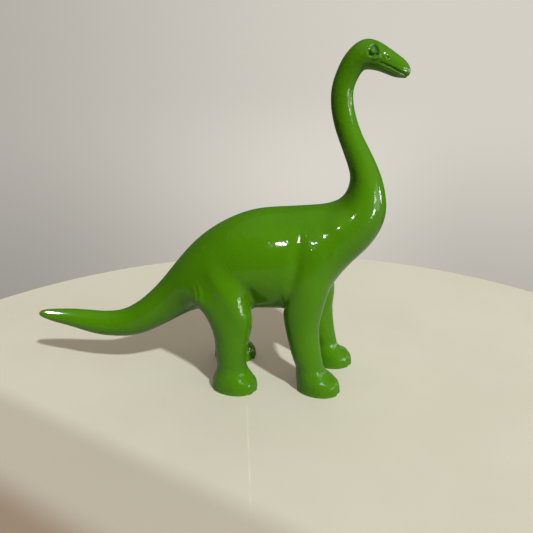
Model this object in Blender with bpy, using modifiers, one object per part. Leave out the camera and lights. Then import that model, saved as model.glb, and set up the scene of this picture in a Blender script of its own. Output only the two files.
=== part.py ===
"""A toy sauropod figure, moulded in rigid plastic as hollow shells and glued together.

The skin is one subdivided cage, a tube of rings along the tail, trunk, neck and head with four legs grown
out of it. Each moulding is a region of that skin. Trunk, neck and tail are pairs of half shells, split on
the middle plane and located by pins. The head and the four legs plug in on spigots. The legs are cored from
below, and each core is closed by a sole cap.

+X points to the snout, +Y to the figure's left and +Z up, and the feet stand on Z = 0.
"""

import math
from collections import namedtuple

import bmesh
import bpy
from mathutils import Matrix, Vector

MM = 0.001

# Moulding practice
GAP = 0.3 * MM
WALL = 2.2 * MM
FLOOR = 2.6 * MM
OVERRUN = 4.0 * MM
SOLE_THICKNESS = 2.4 * MM

# Trunk, from the tail's root to the front of the chest
TRUNK_LENGTH = 120.0 * MM
TRUNK_DEPTH = 61.7 * MM
TRUNK_WIDTH = 54.0 * MM
BELLY_HEIGHT = 47.3 * MM

# Tail, from its root to its tip
TAIL_LENGTH = 99.5 * MM
TAIL_FALL = 27.6 * MM
TAIL_DEPTH = 24.8 * MM
TAIL_WIDTH = 24.8 * MM

# Neck, from the withers to the back of the skull
NECK_RISE = 66.8 * MM
NECK_SWAY = 15.9 * MM
NECK_DEPTH = 24.4 * MM
NECK_WIDTH = 25.0 * MM

# Head, from the back of the skull to the snout
HEAD_LENGTH = 32.0 * MM
HEAD_LIFT = 9.0 * MM
HEAD_DEPTH = 14.8 * MM
HEAD_WIDTH = 15.2 * MM

# Eyes, each a ball set into the side of the head
EYE_DIAMETER = 4.4 * MM
EYE_PROUD = 0.8 * MM
EYE_RISE_SHARE = 0.27

# Legs and feet
LEG_THICKNESS = 18.0 * MM
LEG_WIDTH = 17.5 * MM
LEG_HEIGHT = 46.0 * MM
LEG_JOINT_HEIGHT = 41.0 * MM
FRONT_FOOT_LENGTH = 26.0 * MM
HIND_FOOT_LENGTH = 28.0 * MM
FOOT_WIDTH = 20.0 * MM
FRONT_TRACK = 34.5 * MM
HIND_TRACK = 39.0 * MM
HIND_FOOT_REACH = 29.4 * MM
STANCE_LENGTH = 58.6 * MM
FRONT_STEP = 3.8 * MM
HIND_STEP = 3.1 * MM

# Spigots and their sockets
LEG_SPIGOT_LENGTH = 11.0 * MM
LEG_SPIGOT_WIDTH = 8.0 * MM
LEG_SPIGOT_RISE = 8.0 * MM
NECK_SPIGOT_DIAMETER = 12.0 * MM
NECK_SPIGOT_LENGTH = 8.0 * MM
TAIL_SPIGOT_DIAMETER = 14.0 * MM
TAIL_SPIGOT_LENGTH = 9.0 * MM
HEAD_SPIGOT_DIAMETER = 6.0 * MM
HEAD_SPIGOT_LENGTH = 6.0 * MM

# Locating pins across the middle plane
PIN_DIAMETER = 2.6 * MM
PIN_LENGTH = 3.5 * MM
BOSS_DIAMETER = 6.0 * MM
SLIM_BOSS_DIAMETER = 4.6 * MM
SLIM_PIN_DIAMETER = 1.8 * MM

# Ways that the glue joints face, leaning back from straight up, in degrees
NECK_JOINT_LEAN = 5.0
HEAD_JOINT_LEAN = -33.0
TAIL_JOINT_LEAN = 132.0

# Cage, and the rings of the body where the legs and the eyes start
RING_POINTS = 16
LEG_POINTS = 12
LEG_SPAN = 3
LEG_TOP_POINT = 4
RING_NUMBERS = {"hind leg": 1, "front leg": 6, "eye": 3}
SKIN_LEVELS = 1
SPIGOT_SIDES = 24
PIN_SIDES = 12
EYE_SIDES = 12
EYE_RINGS = 8

# Each row of a section table: along, rise, depth and width as shares, then the lean in degrees
TRUNK_SHARES = (
    (0.000, 0.170, 0.488, 0.580, 29.0),
    (0.076, 0.293, 0.640, 0.760, 15.5),
    (0.159, 0.384, 0.781, 0.885, 8.0),
    (0.258, 0.454, 0.892, 0.960, 3.0),
    (0.354, 0.494, 0.967, 0.985, 0.0),
    (0.438, 0.506, 0.990, 1.000, 0.0),
    (0.521, 0.514, 0.992, 0.990, 0.0),
    (0.608, 0.530, 0.985, 0.970, 0.0),
    (0.685, 0.575, 0.915, 0.930, 2.0),
    (0.748, 0.668, 0.756, 0.860, 4.0),
    (0.808, 0.782, 0.598, 0.780, 12.0),
    (0.865, 0.883, 0.545, 0.700, 25.0),
    (0.901, 1.000, 0.506, 0.622, 37.0),
    (0.918, 1.118, 0.459, 0.545, 49.0),
)
TAIL_SHARES = (
    (0.085, 0.270, 1.000, 1.000, 41.0),
    (0.211, 0.610, 0.857, 0.857, 35.0),
    (0.312, 0.822, 0.789, 0.789, 25.0),
    (0.392, 0.934, 0.729, 0.729, 15.0),
    (0.467, 0.973, 0.669, 0.669, 5.0),
    (0.548, 0.986, 0.639, 0.639, -2.0),
    (0.648, 0.945, 0.586, 0.586, -8.0),
    (0.769, 0.862, 0.466, 0.466, -10.0),
    (0.849, 0.840, 0.391, 0.391, -8.0),
    (0.920, 0.812, 0.308, 0.308, -7.0),
    (0.973, 0.790, 0.200, 0.200, -6.0),
)
NECK_SHARES = (
    (0.03, 0.10, 0.990, 1.000, 58.0),
    (0.14, 0.20, 0.890, 0.865, 66.0),
    (0.30, 0.30, 0.810, 0.745, 71.0),
    (0.51, 0.41, 0.735, 0.650, 74.0),
    (0.78, 0.54, 0.600, 0.550, 80.0),
    (0.97, 0.68, 0.520, 0.495, 88.0),
    (1.06, 0.82, 0.484, 0.470, 90.0),
    (1.00, 0.92, 0.482, 0.470, 81.0),
    (0.86, 1.00, 0.490, 0.495, 68.0),
)
HEAD_SHARES = (
    (0.058, 0.42, 0.850, 0.86, 51.0),
    (0.144, 0.80, 0.910, 0.94, 31.0),
    (0.258, 1.00, 1.000, 1.00, 14.0),
    (0.398, 0.99, 1.020, 1.00, 5.0),
    (0.552, 0.79, 0.890, 0.92, -10.0),
    (0.690, 0.51, 0.770, 0.81, -21.0),
    (0.823, 0.25, 0.700, 0.72, -27.0),
    (0.922, 0.08, 0.500, 0.54, -31.0),
)

# Each row of a leg: height, outward tilt, forward shift, swell and how much of the foot's plan it has
FRONT_LEG_SHARES = (
    (1.110, 0.35, -0.385, 1.24, 0.00),
    (0.957, 0.12, -0.405, 1.13, 0.00),
    (0.780, 0.00, -0.372, 1.05, 0.00),
    (0.565, 0.00, -0.313, 1.00, 0.00),
    (0.390, 0.00, -0.240, 0.95, 0.00),
    (0.283, 0.00, -0.200, 0.97, 0.07),
    (0.187, 0.00, -0.090, 1.00, 0.62),
    (0.087, 0.00, -0.010, 1.00, 1.00),
    (-0.130, 0.00, 0.000, 1.00, 0.98),
)
HIND_LEG_SHARES = (
    (1.087, 0.35, -0.100, 1.52, 0.00),
    (0.935, 0.10, -0.040, 1.36, 0.00),
    (0.780, 0.00, 0.000, 1.20, 0.00),
    (0.587, 0.00, -0.040, 1.06, 0.00),
    (0.400, 0.00, -0.055, 0.98, 0.00),
    (0.280, 0.00, -0.040, 1.00, 0.10),
    (0.185, 0.00, -0.010, 1.00, 0.62),
    (0.087, 0.00, 0.000, 1.00, 0.97),
    (-0.130, 0.00, 0.000, 1.00, 1.00),
)

# Bosses across the middle plane: row of the section, and place from its middle to its back as a share
TRUNK_BOSS_SHARES = ((1, 0.45), (3, 0.70), (5, -0.72), (8, 0.72), (10, -0.55))
NECK_BOSS_SHARES = ((2, 0.0), (5, 0.0))
TAIL_BOSS_SHARES = ((1, 0.0), (5, 0.0))
TAIL_CORE_END_SHARE = 0.80

Section = namedtuple("Section", "centre half_depth half_width lean")
Leg = namedtuple("Leg", "name side row foot_length centre rows")

LACQUER = (0.075, 0.235, 0.001, 1.0)
LACQUER_ROUGHNESS = 0.14


def clear_scene():
    """Remove every object that the scene starts with."""
    for item in list(bpy.data.objects):
        bpy.data.objects.remove(item, do_unlink=True)


def new_collection(name):
    """Return a new collection under the scene."""
    group = bpy.data.collections.new(name)
    bpy.context.scene.collection.children.link(group)
    return group


def lean_vector(degrees):
    """Return the way from a section's middle to its back, which leans to the tail."""
    angle = math.radians(degrees)
    return Vector((-math.sin(angle), 0, math.cos(angle)))


def body_sections():
    """Return the sections from the tail's tip to the snout, and where each part starts."""
    trunk = []
    for along, rise, depth, width, lean in TRUNK_SHARES:
        centre = Vector((along * TRUNK_LENGTH, 0, BELLY_HEIGHT + rise * TRUNK_DEPTH))
        trunk.append(Section(centre, depth * TRUNK_DEPTH / 2, width * TRUNK_WIDTH / 2, lean))
    tail = []
    for along, fall, depth, width, lean in TAIL_SHARES:
        centre = trunk[0].centre + Vector((-along * TAIL_LENGTH, 0, -fall * TAIL_FALL))
        tail.append(Section(centre, depth * TAIL_DEPTH / 2, width * TAIL_WIDTH / 2, lean))
    neck = []
    for sway, rise, depth, width, lean in NECK_SHARES:
        centre = trunk[-1].centre + Vector((-sway * NECK_SWAY, 0, rise * NECK_RISE))
        neck.append(Section(centre, depth * NECK_DEPTH / 2, width * NECK_WIDTH / 2, lean))
    head = []
    for along, lift, depth, width, lean in HEAD_SHARES:
        centre = neck[-1].centre + Vector((along * HEAD_LENGTH, 0, lift * HEAD_LIFT))
        head.append(Section(centre, depth * HEAD_DEPTH / 2, width * HEAD_WIDTH / 2, lean))
    tip = trunk[0].centre.x - TAIL_LENGTH
    snout = neck[-1].centre.x + HEAD_LENGTH
    shift = Vector((-(tip + snout) / 2, 0, 0))
    parts = {}
    for name, rows in (("tail", tail), ("trunk", trunk), ("neck", neck), ("head", head)):
        parts[name] = [row._replace(centre=row.centre + shift) for row in rows]
    return parts


def shrink(points):
    """Return how far subdivision draws in a regular ring of this many points."""
    return (2 + math.cos(2 * math.pi / points)) / 3


def section_ring(section):
    """Return one ring of the body's cage, from its back round by the left side."""
    back = lean_vector(section.lean) * section.half_depth / shrink(RING_POINTS)
    side = Vector((0, section.half_width / shrink(RING_POINTS), 0))
    ring = []
    for number in range(RING_POINTS):
        angle = 2 * math.pi * number / RING_POINTS
        ring.append(section.centre + back * math.cos(angle) + side * math.sin(angle))
    return ring


def leg_ring(leg, row):
    """Return one ring of a leg's cage, from its front outer corner round by the outer side."""
    height, tilt, forward, swell, foot = row
    length = (LEG_THICKNESS + foot * (leg.foot_length - LEG_THICKNESS)) * swell
    width = (LEG_WIDTH + foot * (FOOT_WIDTH - LEG_WIDTH)) * math.sqrt(swell)
    ring = []
    for number in range(LEG_POINTS):
        angle = math.radians(45) + 2 * math.pi * number / LEG_POINTS
        ahead = math.cos(angle) * length / 2 / shrink(LEG_POINTS)
        out = math.sin(angle) * width / 2 / shrink(LEG_POINTS)
        lift = height * LEG_HEIGHT + tilt * LEG_WIDTH * math.sin(angle)
        place = leg.centre + Vector((forward * leg.foot_length + ahead, leg.side * out, lift))
        ring.append(place)
    return ring


def all_legs(parts):
    """Return the four legs, each with the middle of its footprint."""
    hind_x = parts["trunk"][0].centre.x + HIND_FOOT_REACH
    front_x = hind_x + STANCE_LENGTH
    legs = []
    for side, side_name in ((-1, "right"), (1, "left")):
        front = Vector((front_x + side * FRONT_STEP, side * FRONT_TRACK / 2, 0))
        hind = Vector((hind_x - side * HIND_STEP, side * HIND_TRACK / 2, 0))
        legs.append(Leg("front_" + side_name, side, RING_NUMBERS["front leg"], FRONT_FOOT_LENGTH, front,
                        FRONT_LEG_SHARES))
        legs.append(Leg("hind_" + side_name, side, RING_NUMBERS["hind leg"], HIND_FOOT_LENGTH, hind,
                        HIND_LEG_SHARES))
    return legs


def close_ring(bm, ring, first_corner, dome):
    """Close a ring of 4 n points with an n by n patch of quads, raised by the dome in its middle."""
    count = len(ring) // 4
    ordered = [ring[(first_corner + number) % len(ring)] for number in range(len(ring))]
    middle = sum((vert.co for vert in ring), Vector()) / len(ring)
    grid = {}
    for step in range(count):
        grid[(count - step, count)] = ordered[step]
        grid[(0, count - step)] = ordered[count + step]
        grid[(step, 0)] = ordered[2 * count + step]
        grid[(count, step)] = ordered[3 * count + step]
    ahead = (ordered[0].co + ordered[3 * count].co - ordered[count].co - ordered[2 * count].co) / 2
    out = (ordered[0].co + ordered[count].co - ordered[2 * count].co - ordered[3 * count].co) / 2
    for row in range(1, count):
        for column in range(1, count):
            u = 2 * row / count - 1
            v = 2 * column / count - 1
            on_disc = ahead * u * math.sqrt(1 - v * v / 2) + out * v * math.sqrt(1 - u * u / 2)
            rise = dome * (1 - (u * u + v * v) / 2)
            grid[(row, column)] = bm.verts.new(middle + on_disc / math.sqrt(2) + rise)
    for row in range(count):
        for column in range(count):
            bm.faces.new((grid[(row, column)], grid[(row + 1, column)],
                          grid[(row + 1, column + 1)], grid[(row, column + 1)]))


def grow_leg(bm, rings, leg):
    """Grow one leg from its patch of the trunk: three rows by three sides."""
    def vert(step, number):
        return rings[leg.row + step][(leg.side * number) % RING_POINTS]

    top = LEG_TOP_POINT
    low = LEG_TOP_POINT + LEG_SPAN
    upper = [vert(step, top) for step in range(LEG_SPAN, 0, -1)]
    upper += [vert(0, number) for number in range(top, low)]
    upper += [vert(step, low) for step in range(LEG_SPAN)]
    upper += [vert(LEG_SPAN, number) for number in range(low, top, -1)]
    for row in leg.rows:
        lower = [bm.verts.new(place) for place in leg_ring(leg, row)]
        for number in range(LEG_POINTS):
            after = (number + 1) % LEG_POINTS
            bm.faces.new((upper[number], upper[after], lower[after], lower[number]))
        upper = lower
    close_ring(bm, upper, 0, Vector())


def make_cage(parts, legs, group):
    """Build the cage of the whole figure as one closed mesh of quads."""
    bm = bmesh.new()
    sections = parts["tail"][::-1] + parts["trunk"] + parts["neck"] + parts["head"]
    rings = [[bm.verts.new(place) for place in section_ring(section)] for section in sections]
    first_trunk = len(parts["tail"])
    legs = [leg._replace(row=leg.row + first_trunk) for leg in legs]
    patches = set()
    for leg in legs:
        for step in range(LEG_SPAN):
            for number in range(LEG_TOP_POINT, LEG_TOP_POINT + LEG_SPAN):
                column = number if leg.side > 0 else RING_POINTS - 1 - number
                patches.add((leg.row + step, column))
    for row in range(len(rings) - 1):
        for column in range(RING_POINTS):
            if (row, column) not in patches:
                after = (column + 1) % RING_POINTS
                bm.faces.new((rings[row][column], rings[row][after],
                              rings[row + 1][after], rings[row + 1][column]))
    for leg in legs:
        grow_leg(bm, rings, leg)
    tip, snout = sections[0], sections[-1]
    tip_dome = Vector((-(1 - TAIL_SHARES[-1][0]) * TAIL_LENGTH, 0, 0))
    snout_way = lean_vector(snout.lean - 90)
    snout_dome = snout_way * (1 - HEAD_SHARES[-1][0]) * HEAD_LENGTH / snout_way.x
    close_ring(bm, rings[0], RING_POINTS // 8, tip_dome)
    close_ring(bm, rings[-1], RING_POINTS // 8, snout_dome)
    bmesh.ops.recalc_face_normals(bm, faces=bm.faces)
    cage = guide_object("skin_cage", bm, group)
    rounder = cage.modifiers.new("Round", 'SUBSURF')
    rounder.levels = SKIN_LEVELS
    rounder.render_levels = SKIN_LEVELS
    return cage


def hide_guide(item):
    """Keep a cutter or guide out of the finished figure."""
    item.hide_render = True
    item.display_type = 'WIRE'


def rounded_mesh(cage):
    """Return the cage's subdivided surface as a mesh of its own."""
    graph = bpy.context.evaluated_depsgraph_get()
    return bpy.data.meshes.new_from_object(cage.evaluated_get(graph))


def inset_mesh(cage, skin, depth):
    """Return the cage's own faces, moved in from the skin by a depth along its normals."""
    mesh = cage.data.copy()
    for vert in mesh.vertices:
        surface = skin.vertices[vert.index]
        vert.co = surface.co - surface.normal * depth
    return mesh


def slice_mesh(bm, place, way):
    """Cut off what lies past a plane and close the cut."""
    geometry = bm.verts[:] + bm.edges[:] + bm.faces[:]
    bmesh.ops.bisect_plane(bm, geom=geometry, plane_co=place, plane_no=way, clear_outer=True)
    rim = [edge for edge in bm.edges if edge.is_boundary]
    bmesh.ops.holes_fill(bm, edges=rim, sides=0)


def region(name, mesh, cuts, group):
    """Return an object that holds the part of a closed mesh behind every one of the cuts."""
    bm = bmesh.new()
    bm.from_mesh(mesh)
    for place, way in cuts:
        slice_mesh(bm, place, way)
    bmesh.ops.recalc_face_normals(bm, faces=bm.faces)
    piece = bpy.data.meshes.new(name)
    bm.to_mesh(piece)
    bm.free()
    item = bpy.data.objects.new(name, piece)
    group.objects.link(item)
    return item


def guide_object(name, bm, group):
    """Return a hidden object that holds a mesh, which is used up."""
    mesh = bpy.data.meshes.new(name)
    bm.to_mesh(mesh)
    bm.free()
    item = bpy.data.objects.new(name, mesh)
    group.objects.link(item)
    hide_guide(item)
    return item


def peg(name, start, way, length, size_x, size_y, sides, group):
    """Return a round or oval peg that runs from a start along a way."""
    bm = bmesh.new()
    bmesh.ops.create_cone(bm, cap_ends=True, segments=sides, radius1=0.5, radius2=0.5, depth=1)
    turn = way.to_track_quat('Z', 'Y').to_matrix().to_4x4()
    if way.x == 0 and way.y == 0:
        turn = Matrix.Identity(4)
    scale = Matrix.Diagonal((size_x, size_y, length, 1))
    middle = Matrix.Translation(start + way * length / 2)
    bmesh.ops.transform(bm, matrix=middle @ turn @ scale, verts=bm.verts)
    return guide_object(name, bm, group)


def half_space(name, side, group):
    """Return a box that holds everything on one side of the middle plane, clear of it by half the gap."""
    reach = TAIL_LENGTH + TRUNK_LENGTH
    bm = bmesh.new()
    bmesh.ops.create_cube(bm, size=1)
    scale = Matrix.Diagonal((2 * reach, TRUNK_WIDTH, 2 * reach, 1))
    move = Matrix.Translation((0, side * (GAP + TRUNK_WIDTH) / 2, 0))
    bmesh.ops.transform(bm, matrix=move @ scale, verts=bm.verts)
    return guide_object(name, bm, group)


def combine(item, operation, other):
    """Add one exact Boolean to an object."""
    step = item.modifiers.new(operation.title(), 'BOOLEAN')
    step.operation = operation
    step.solver = 'EXACT'
    step.object = other


def finish(item, joint, root):
    """Give a moulding its material, and put its origin at its joint."""
    paint = bpy.data.materials.new(item.name + "_lacquer")
    paint.use_nodes = True
    shader = paint.node_tree.nodes["Principled BSDF"]
    shader.inputs["Base Color"].default_value = LACQUER
    shader.inputs["Roughness"].default_value = LACQUER_ROUGHNESS
    shader.inputs["Metallic"].default_value = 0
    item.data.materials.clear()
    item.data.materials.append(paint)
    item.data.transform(Matrix.Translation(-joint))
    item.data.shade_smooth()
    item.location = joint
    item.parent = root


class Figure:
    """The whole toy: its skin, its joints and the mouldings cut from it."""

    def __init__(self):
        self.pieces = new_collection("toy_sauropod")
        self.guides = new_collection("toy_sauropod_cutters")
        self.root = bpy.data.objects.new("toy_sauropod_root", None)
        self.pieces.objects.link(self.root)
        self.parts = body_sections()
        self.legs = all_legs(self.parts)
        self.cage = make_cage(self.parts, self.legs, self.guides)
        self.skin = rounded_mesh(self.cage)
        self.core = inset_mesh(self.cage, self.skin, WALL)
        self.plug = inset_mesh(self.cage, self.skin, WALL + GAP)
        self.neck_way = lean_vector(NECK_JOINT_LEAN)
        self.head_way = lean_vector(HEAD_JOINT_LEAN)
        self.tail_way = lean_vector(TAIL_JOINT_LEAN)
        self.neck_joint = self.parts["neck"][0].centre
        self.head_joint = self.parts["head"][0].centre
        self.tail_joint = (self.parts["trunk"][0].centre + self.parts["tail"][0].centre) / 2
        self.up = Vector((0, 0, 1))
        self.ahead = Vector((1, 0, 0))
        fall = self.tail_joint.z - LEG_JOINT_HEIGHT
        self.leg_line = self.tail_joint + Vector((fall * self.tail_way.z / self.tail_way.x, 0, -fall))
        self.halves = {"right": half_space("right_side", -1, self.guides),
                       "left": half_space("left_side", 1, self.guides)}

    def leg_cuts(self, leg, top):
        """Return the planes that set one leg apart, up to a height."""
        trunk = self.parts["trunk"]
        behind = trunk[RING_NUMBERS["hind leg"] + LEG_SPAN].centre
        between = (behind + trunk[RING_NUMBERS["front leg"]].centre) / 2
        cuts = [(Vector((0, 0, top)), self.up), (Vector(), Vector((0, -leg.side, 0)))]
        if leg.row == RING_NUMBERS["hind leg"]:
            cuts += [(between, self.ahead), (self.leg_line, -self.ahead)]
        else:
            cuts.append((between, -self.ahead))
        return cuts

    def leg_peg(self, leg, hole):
        """Return the oval spigot on top of a leg, or the hole that takes it."""
        clearance = GAP if hole else 0
        root = OVERRUN if hole else FLOOR / 2
        name = ("socket_" if hole else "spigot_") + leg.name
        start = self.leg_joint(leg) - self.up * root
        return peg(name, start, self.up, root + LEG_SPIGOT_RISE + clearance,
                   LEG_SPIGOT_LENGTH + 2 * clearance, LEG_SPIGOT_WIDTH + 2 * clearance,
                   SPIGOT_SIDES, self.guides)

    def leg_joint(self, leg):
        """Return the middle of the leg's section at its glue joint."""
        upper, lower = leg.rows[1], leg.rows[2]
        forward = (upper[2] + lower[2]) / 2 * leg.foot_length
        return leg.centre + Vector((forward, 0, LEG_JOINT_HEIGHT))

    def make_leg(self, leg):
        """Make one leg, cored from below, and the cap that closes it."""
        top = LEG_JOINT_HEIGHT - GAP / 2
        floor = (Vector(), -self.up)
        item = region("leg_" + leg.name, self.skin, self.leg_cuts(leg, top) + [floor], self.pieces)
        core = region("core_" + leg.name, self.core, self.leg_cuts(leg, top - FLOOR), self.guides)
        hide_guide(core)
        combine(item, 'UNION', self.leg_peg(leg, hole=False))
        combine(item, 'DIFFERENCE', core)
        finish(item, self.leg_joint(leg), self.root)
        sole_cuts = self.leg_cuts(leg, SOLE_THICKNESS) + [floor]
        sole = region("sole_" + leg.name, self.plug, sole_cuts, self.pieces)
        finish(sole, leg.centre, self.root)

    def joint_peg(self, name, joint, way, diameter, length, hole):
        """Return the round spigot that leaves a joint along a way, or the hole that takes it."""
        clearance = GAP if hole else 0
        root = OVERRUN if hole else FLOOR / 2
        name = name + ("_socket" if hole else "_spigot")
        return peg(name, joint - way * root, way, root + length + clearance, diameter + 2 * clearance,
                   diameter + 2 * clearance, SPIGOT_SIDES, self.guides)

    def neck_peg(self, hole):
        """Return the spigot at the foot of the neck, or its hole in the trunk."""
        return self.joint_peg("neck", self.neck_joint, -self.neck_way, NECK_SPIGOT_DIAMETER,
                              NECK_SPIGOT_LENGTH, hole)

    def head_peg(self, hole):
        """Return the spigot at the top of the neck, or its hole in the head."""
        return self.joint_peg("head", self.head_joint, self.head_way, HEAD_SPIGOT_DIAMETER,
                              HEAD_SPIGOT_LENGTH, hole)

    def tail_peg(self, hole):
        """Return the spigot at the tail's root, or its hole in the trunk."""
        return self.joint_peg("tail", self.tail_joint, -self.tail_way, TAIL_SPIGOT_DIAMETER,
                              TAIL_SPIGOT_LENGTH, hole)

    def make_halves(self, name, cuts, core_cuts, spigots, sockets, bosses, sizes):
        """Make a pair of half shells that meet on the middle plane, with pins on the left one."""
        boss_diameter, pin_diameter = sizes
        core = region("core_" + name, self.core, core_cuts, self.guides)
        hide_guide(core)
        across = Vector((0, 1, 0))
        for number, place in enumerate(bosses):
            column = peg("boss_{}_{}".format(name, number), place - across * TRUNK_WIDTH / 2, across,
                         TRUNK_WIDTH, boss_diameter, boss_diameter, PIN_SIDES, self.guides)
            combine(core, 'DIFFERENCE', column)
        for side in ("right", "left"):
            item = region("{}_shell_{}".format(name, side), self.skin, cuts, self.pieces)
            for spigot in spigots:
                combine(item, 'UNION', spigot)
            combine(item, 'DIFFERENCE', core)
            for socket in sockets:
                combine(item, 'DIFFERENCE', socket)
            combine(item, 'INTERSECT', self.halves[side])
            for number, place in enumerate(bosses):
                clearance = GAP if side == "right" else 0
                start = place + across * (OVERRUN if side == "right" else GAP + PIN_LENGTH / 2)
                end = place - across * (PIN_LENGTH + clearance)
                pin = peg("pin_{}_{}_{}".format(name, side, number), start, -across, (start - end).length,
                          pin_diameter + 2 * clearance, pin_diameter + 2 * clearance, PIN_SIDES, self.guides)
                combine(item, 'DIFFERENCE' if side == "right" else 'UNION', pin)
            finish(item, self.joint_of(name), self.root)

    def joint_of(self, name):
        """Return the place where a pair of shells joins the next part."""
        joints = {"torso": self.parts["trunk"][0].centre, "neck": self.neck_joint,
                  "tail": self.tail_joint}
        return joints[name]

    def boss_places(self, part, table):
        """Return the places of the bosses of one part."""
        places = []
        for row, share in table:
            section = self.parts[part][row]
            places.append(section.centre + lean_vector(section.lean) * section.half_depth * share)
        return places

    def make_torso(self):
        """Make the trunk's two shells."""
        trim = GAP / 2
        above = Vector((0, 0, LEG_JOINT_HEIGHT + trim))
        cuts = [(self.neck_joint - self.neck_way * trim, self.neck_way),
                (self.tail_joint - self.tail_way * trim, self.tail_way), (above, -self.up)]
        core_cuts = [(place - way * FLOOR, way) for place, way in cuts]
        sockets = [self.neck_peg(hole=True), self.tail_peg(hole=True)]
        sockets += [self.leg_peg(leg, hole=True) for leg in self.legs]
        bosses = self.boss_places("trunk", TRUNK_BOSS_SHARES)
        self.make_halves("torso", cuts, core_cuts, [], sockets, bosses, (BOSS_DIAMETER, PIN_DIAMETER))

    def make_neck(self):
        """Make the neck's two shells, with a spigot at each end."""
        trim = GAP / 2
        cuts = [(self.neck_joint + self.neck_way * trim, -self.neck_way),
                (self.head_joint - self.head_way * trim, self.head_way)]
        core_cuts = [(place - way * FLOOR, way) for place, way in cuts]
        spigots = [self.neck_peg(hole=False), self.head_peg(hole=False)]
        bosses = self.boss_places("neck", NECK_BOSS_SHARES)
        self.make_halves("neck", cuts, core_cuts, spigots, [], bosses,
                         (SLIM_BOSS_DIAMETER, SLIM_PIN_DIAMETER))

    def make_tail(self):
        """Make the tail's two shells, solid towards the tip."""
        trim = GAP / 2
        cuts = [(self.tail_joint + self.tail_way * trim, -self.tail_way), (self.leg_line, self.ahead)]
        end = self.parts["trunk"][0].centre - self.ahead * TAIL_LENGTH * TAIL_CORE_END_SHARE
        core_cuts = [(self.tail_joint + self.tail_way * (trim + FLOOR), -self.tail_way),
                     (self.leg_line, self.ahead), (end, -self.ahead)]
        bosses = self.boss_places("tail", TAIL_BOSS_SHARES)
        self.make_halves("tail", cuts, core_cuts, [self.tail_peg(hole=False)], [], bosses,
                         (SLIM_BOSS_DIAMETER, SLIM_PIN_DIAMETER))

    def eye(self, side):
        """Return the ball of one eye, which stands a little proud of the head."""
        section = self.parts["head"][RING_NUMBERS["eye"]]
        surface = section.half_width * math.sqrt(1 - EYE_RISE_SHARE ** 2)
        out = Vector((0, side * (surface + EYE_PROUD - EYE_DIAMETER / 2), 0))
        up = lean_vector(section.lean) * section.half_depth * EYE_RISE_SHARE
        bm = bmesh.new()
        bmesh.ops.create_uvsphere(bm, u_segments=EYE_SIDES, v_segments=EYE_RINGS, radius=EYE_DIAMETER / 2)
        bmesh.ops.translate(bm, vec=section.centre + up + out, verts=bm.verts)
        return guide_object("eye_left" if side > 0 else "eye_right", bm, self.guides)

    def make_head(self):
        """Make the solid head, with a blind socket for the neck's spigot."""
        cut = (self.head_joint + self.head_way * GAP / 2, -self.head_way)
        item = region("head", self.skin, [cut], self.pieces)
        combine(item, 'DIFFERENCE', self.head_peg(hole=True))
        for side in (-1, 1):
            combine(item, 'UNION', self.eye(side))
        finish(item, self.head_joint, self.root)

    def build(self):
        """Make every moulding."""
        self.make_torso()
        self.make_neck()
        self.make_head()
        self.make_tail()
        for leg in self.legs:
            self.make_leg(leg)


def main():
    """Clear the scene and build the figure."""
    clear_scene()
    Figure().build()


main()
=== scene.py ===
"""Looks of a glossy toy sauropod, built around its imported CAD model.

The figure is rigid moulded plastic under a smooth coat of apple-green lacquer. Its skin is modelled whole,
as one tube of rings that is extruded from the tail's tip to the snout, with four legs grown out of it. The
skin is subdivided and carved with the eyes, the mouth, the nostrils, the toes and the folds at the legs, and
then cut along the figure's own glue joints. Each moulding has its own piece, which stands for the CAD node it
replaces. The sole caps are CAD nodes that stay, with a material of their own.

+X points to the snout, +Y to the figure's left and +Z up, and the feet stand on Z = 0.
"""

import logging
import math
from dataclasses import dataclass, field
from enum import Enum
from typing import Optional, Sequence, Union

import bmesh
import bpy
import numpy as np
from mathutils import Matrix, Vector
from mathutils.kdtree import KDTree


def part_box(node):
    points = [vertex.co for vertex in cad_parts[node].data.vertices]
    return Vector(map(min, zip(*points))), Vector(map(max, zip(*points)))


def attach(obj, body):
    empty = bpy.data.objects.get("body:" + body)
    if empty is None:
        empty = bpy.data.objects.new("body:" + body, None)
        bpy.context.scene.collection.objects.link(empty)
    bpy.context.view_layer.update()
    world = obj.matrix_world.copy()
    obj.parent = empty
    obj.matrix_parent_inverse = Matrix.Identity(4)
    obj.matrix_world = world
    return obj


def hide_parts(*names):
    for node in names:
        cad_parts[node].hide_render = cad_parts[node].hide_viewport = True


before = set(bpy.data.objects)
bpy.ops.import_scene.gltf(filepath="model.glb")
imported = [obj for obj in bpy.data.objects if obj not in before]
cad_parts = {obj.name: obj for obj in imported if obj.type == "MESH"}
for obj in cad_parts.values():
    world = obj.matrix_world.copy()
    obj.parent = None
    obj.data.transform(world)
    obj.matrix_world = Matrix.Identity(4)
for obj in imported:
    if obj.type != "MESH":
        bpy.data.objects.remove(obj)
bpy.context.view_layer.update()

MM = 0.001
BODY = "root"
TOUCH = 0.01 * MM
RING_POINTS = 16
LEG_SPAN = 3
LEG_POINTS = 4 * LEG_SPAN
LEG_TOP_POINT = 4
SMOOTH_ANGLE = math.radians(40)
UP = Vector((0, 0, 1))
AHEAD = Vector((1, 0, 0))

log = logging.getLogger("sauropod")

Rows = tuple[tuple[float, ...], ...]
Edge = tuple[float, float]
Place = tuple[float, float, float]
Colour = tuple[float, float, float, float]


class Side(Enum):
    """A side of the figure, by the sign of its Y."""

    RIGHT = -1
    LEFT = 1


class Pair(Enum):
    """A pair of legs."""

    FRONT = "front"
    HIND = "hind"


def shrink(points: int) -> float:
    """Return how far subdivision draws in a regular ring of this many points."""
    return (2 + math.cos(2 * math.pi / points)) / 3


def lean_vector(degrees: float) -> Vector:
    """Return the way from a section's middle to its back, which leans to the tail."""
    angle = math.radians(degrees)
    return Vector((-math.sin(angle), 0, math.cos(angle)))


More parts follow.
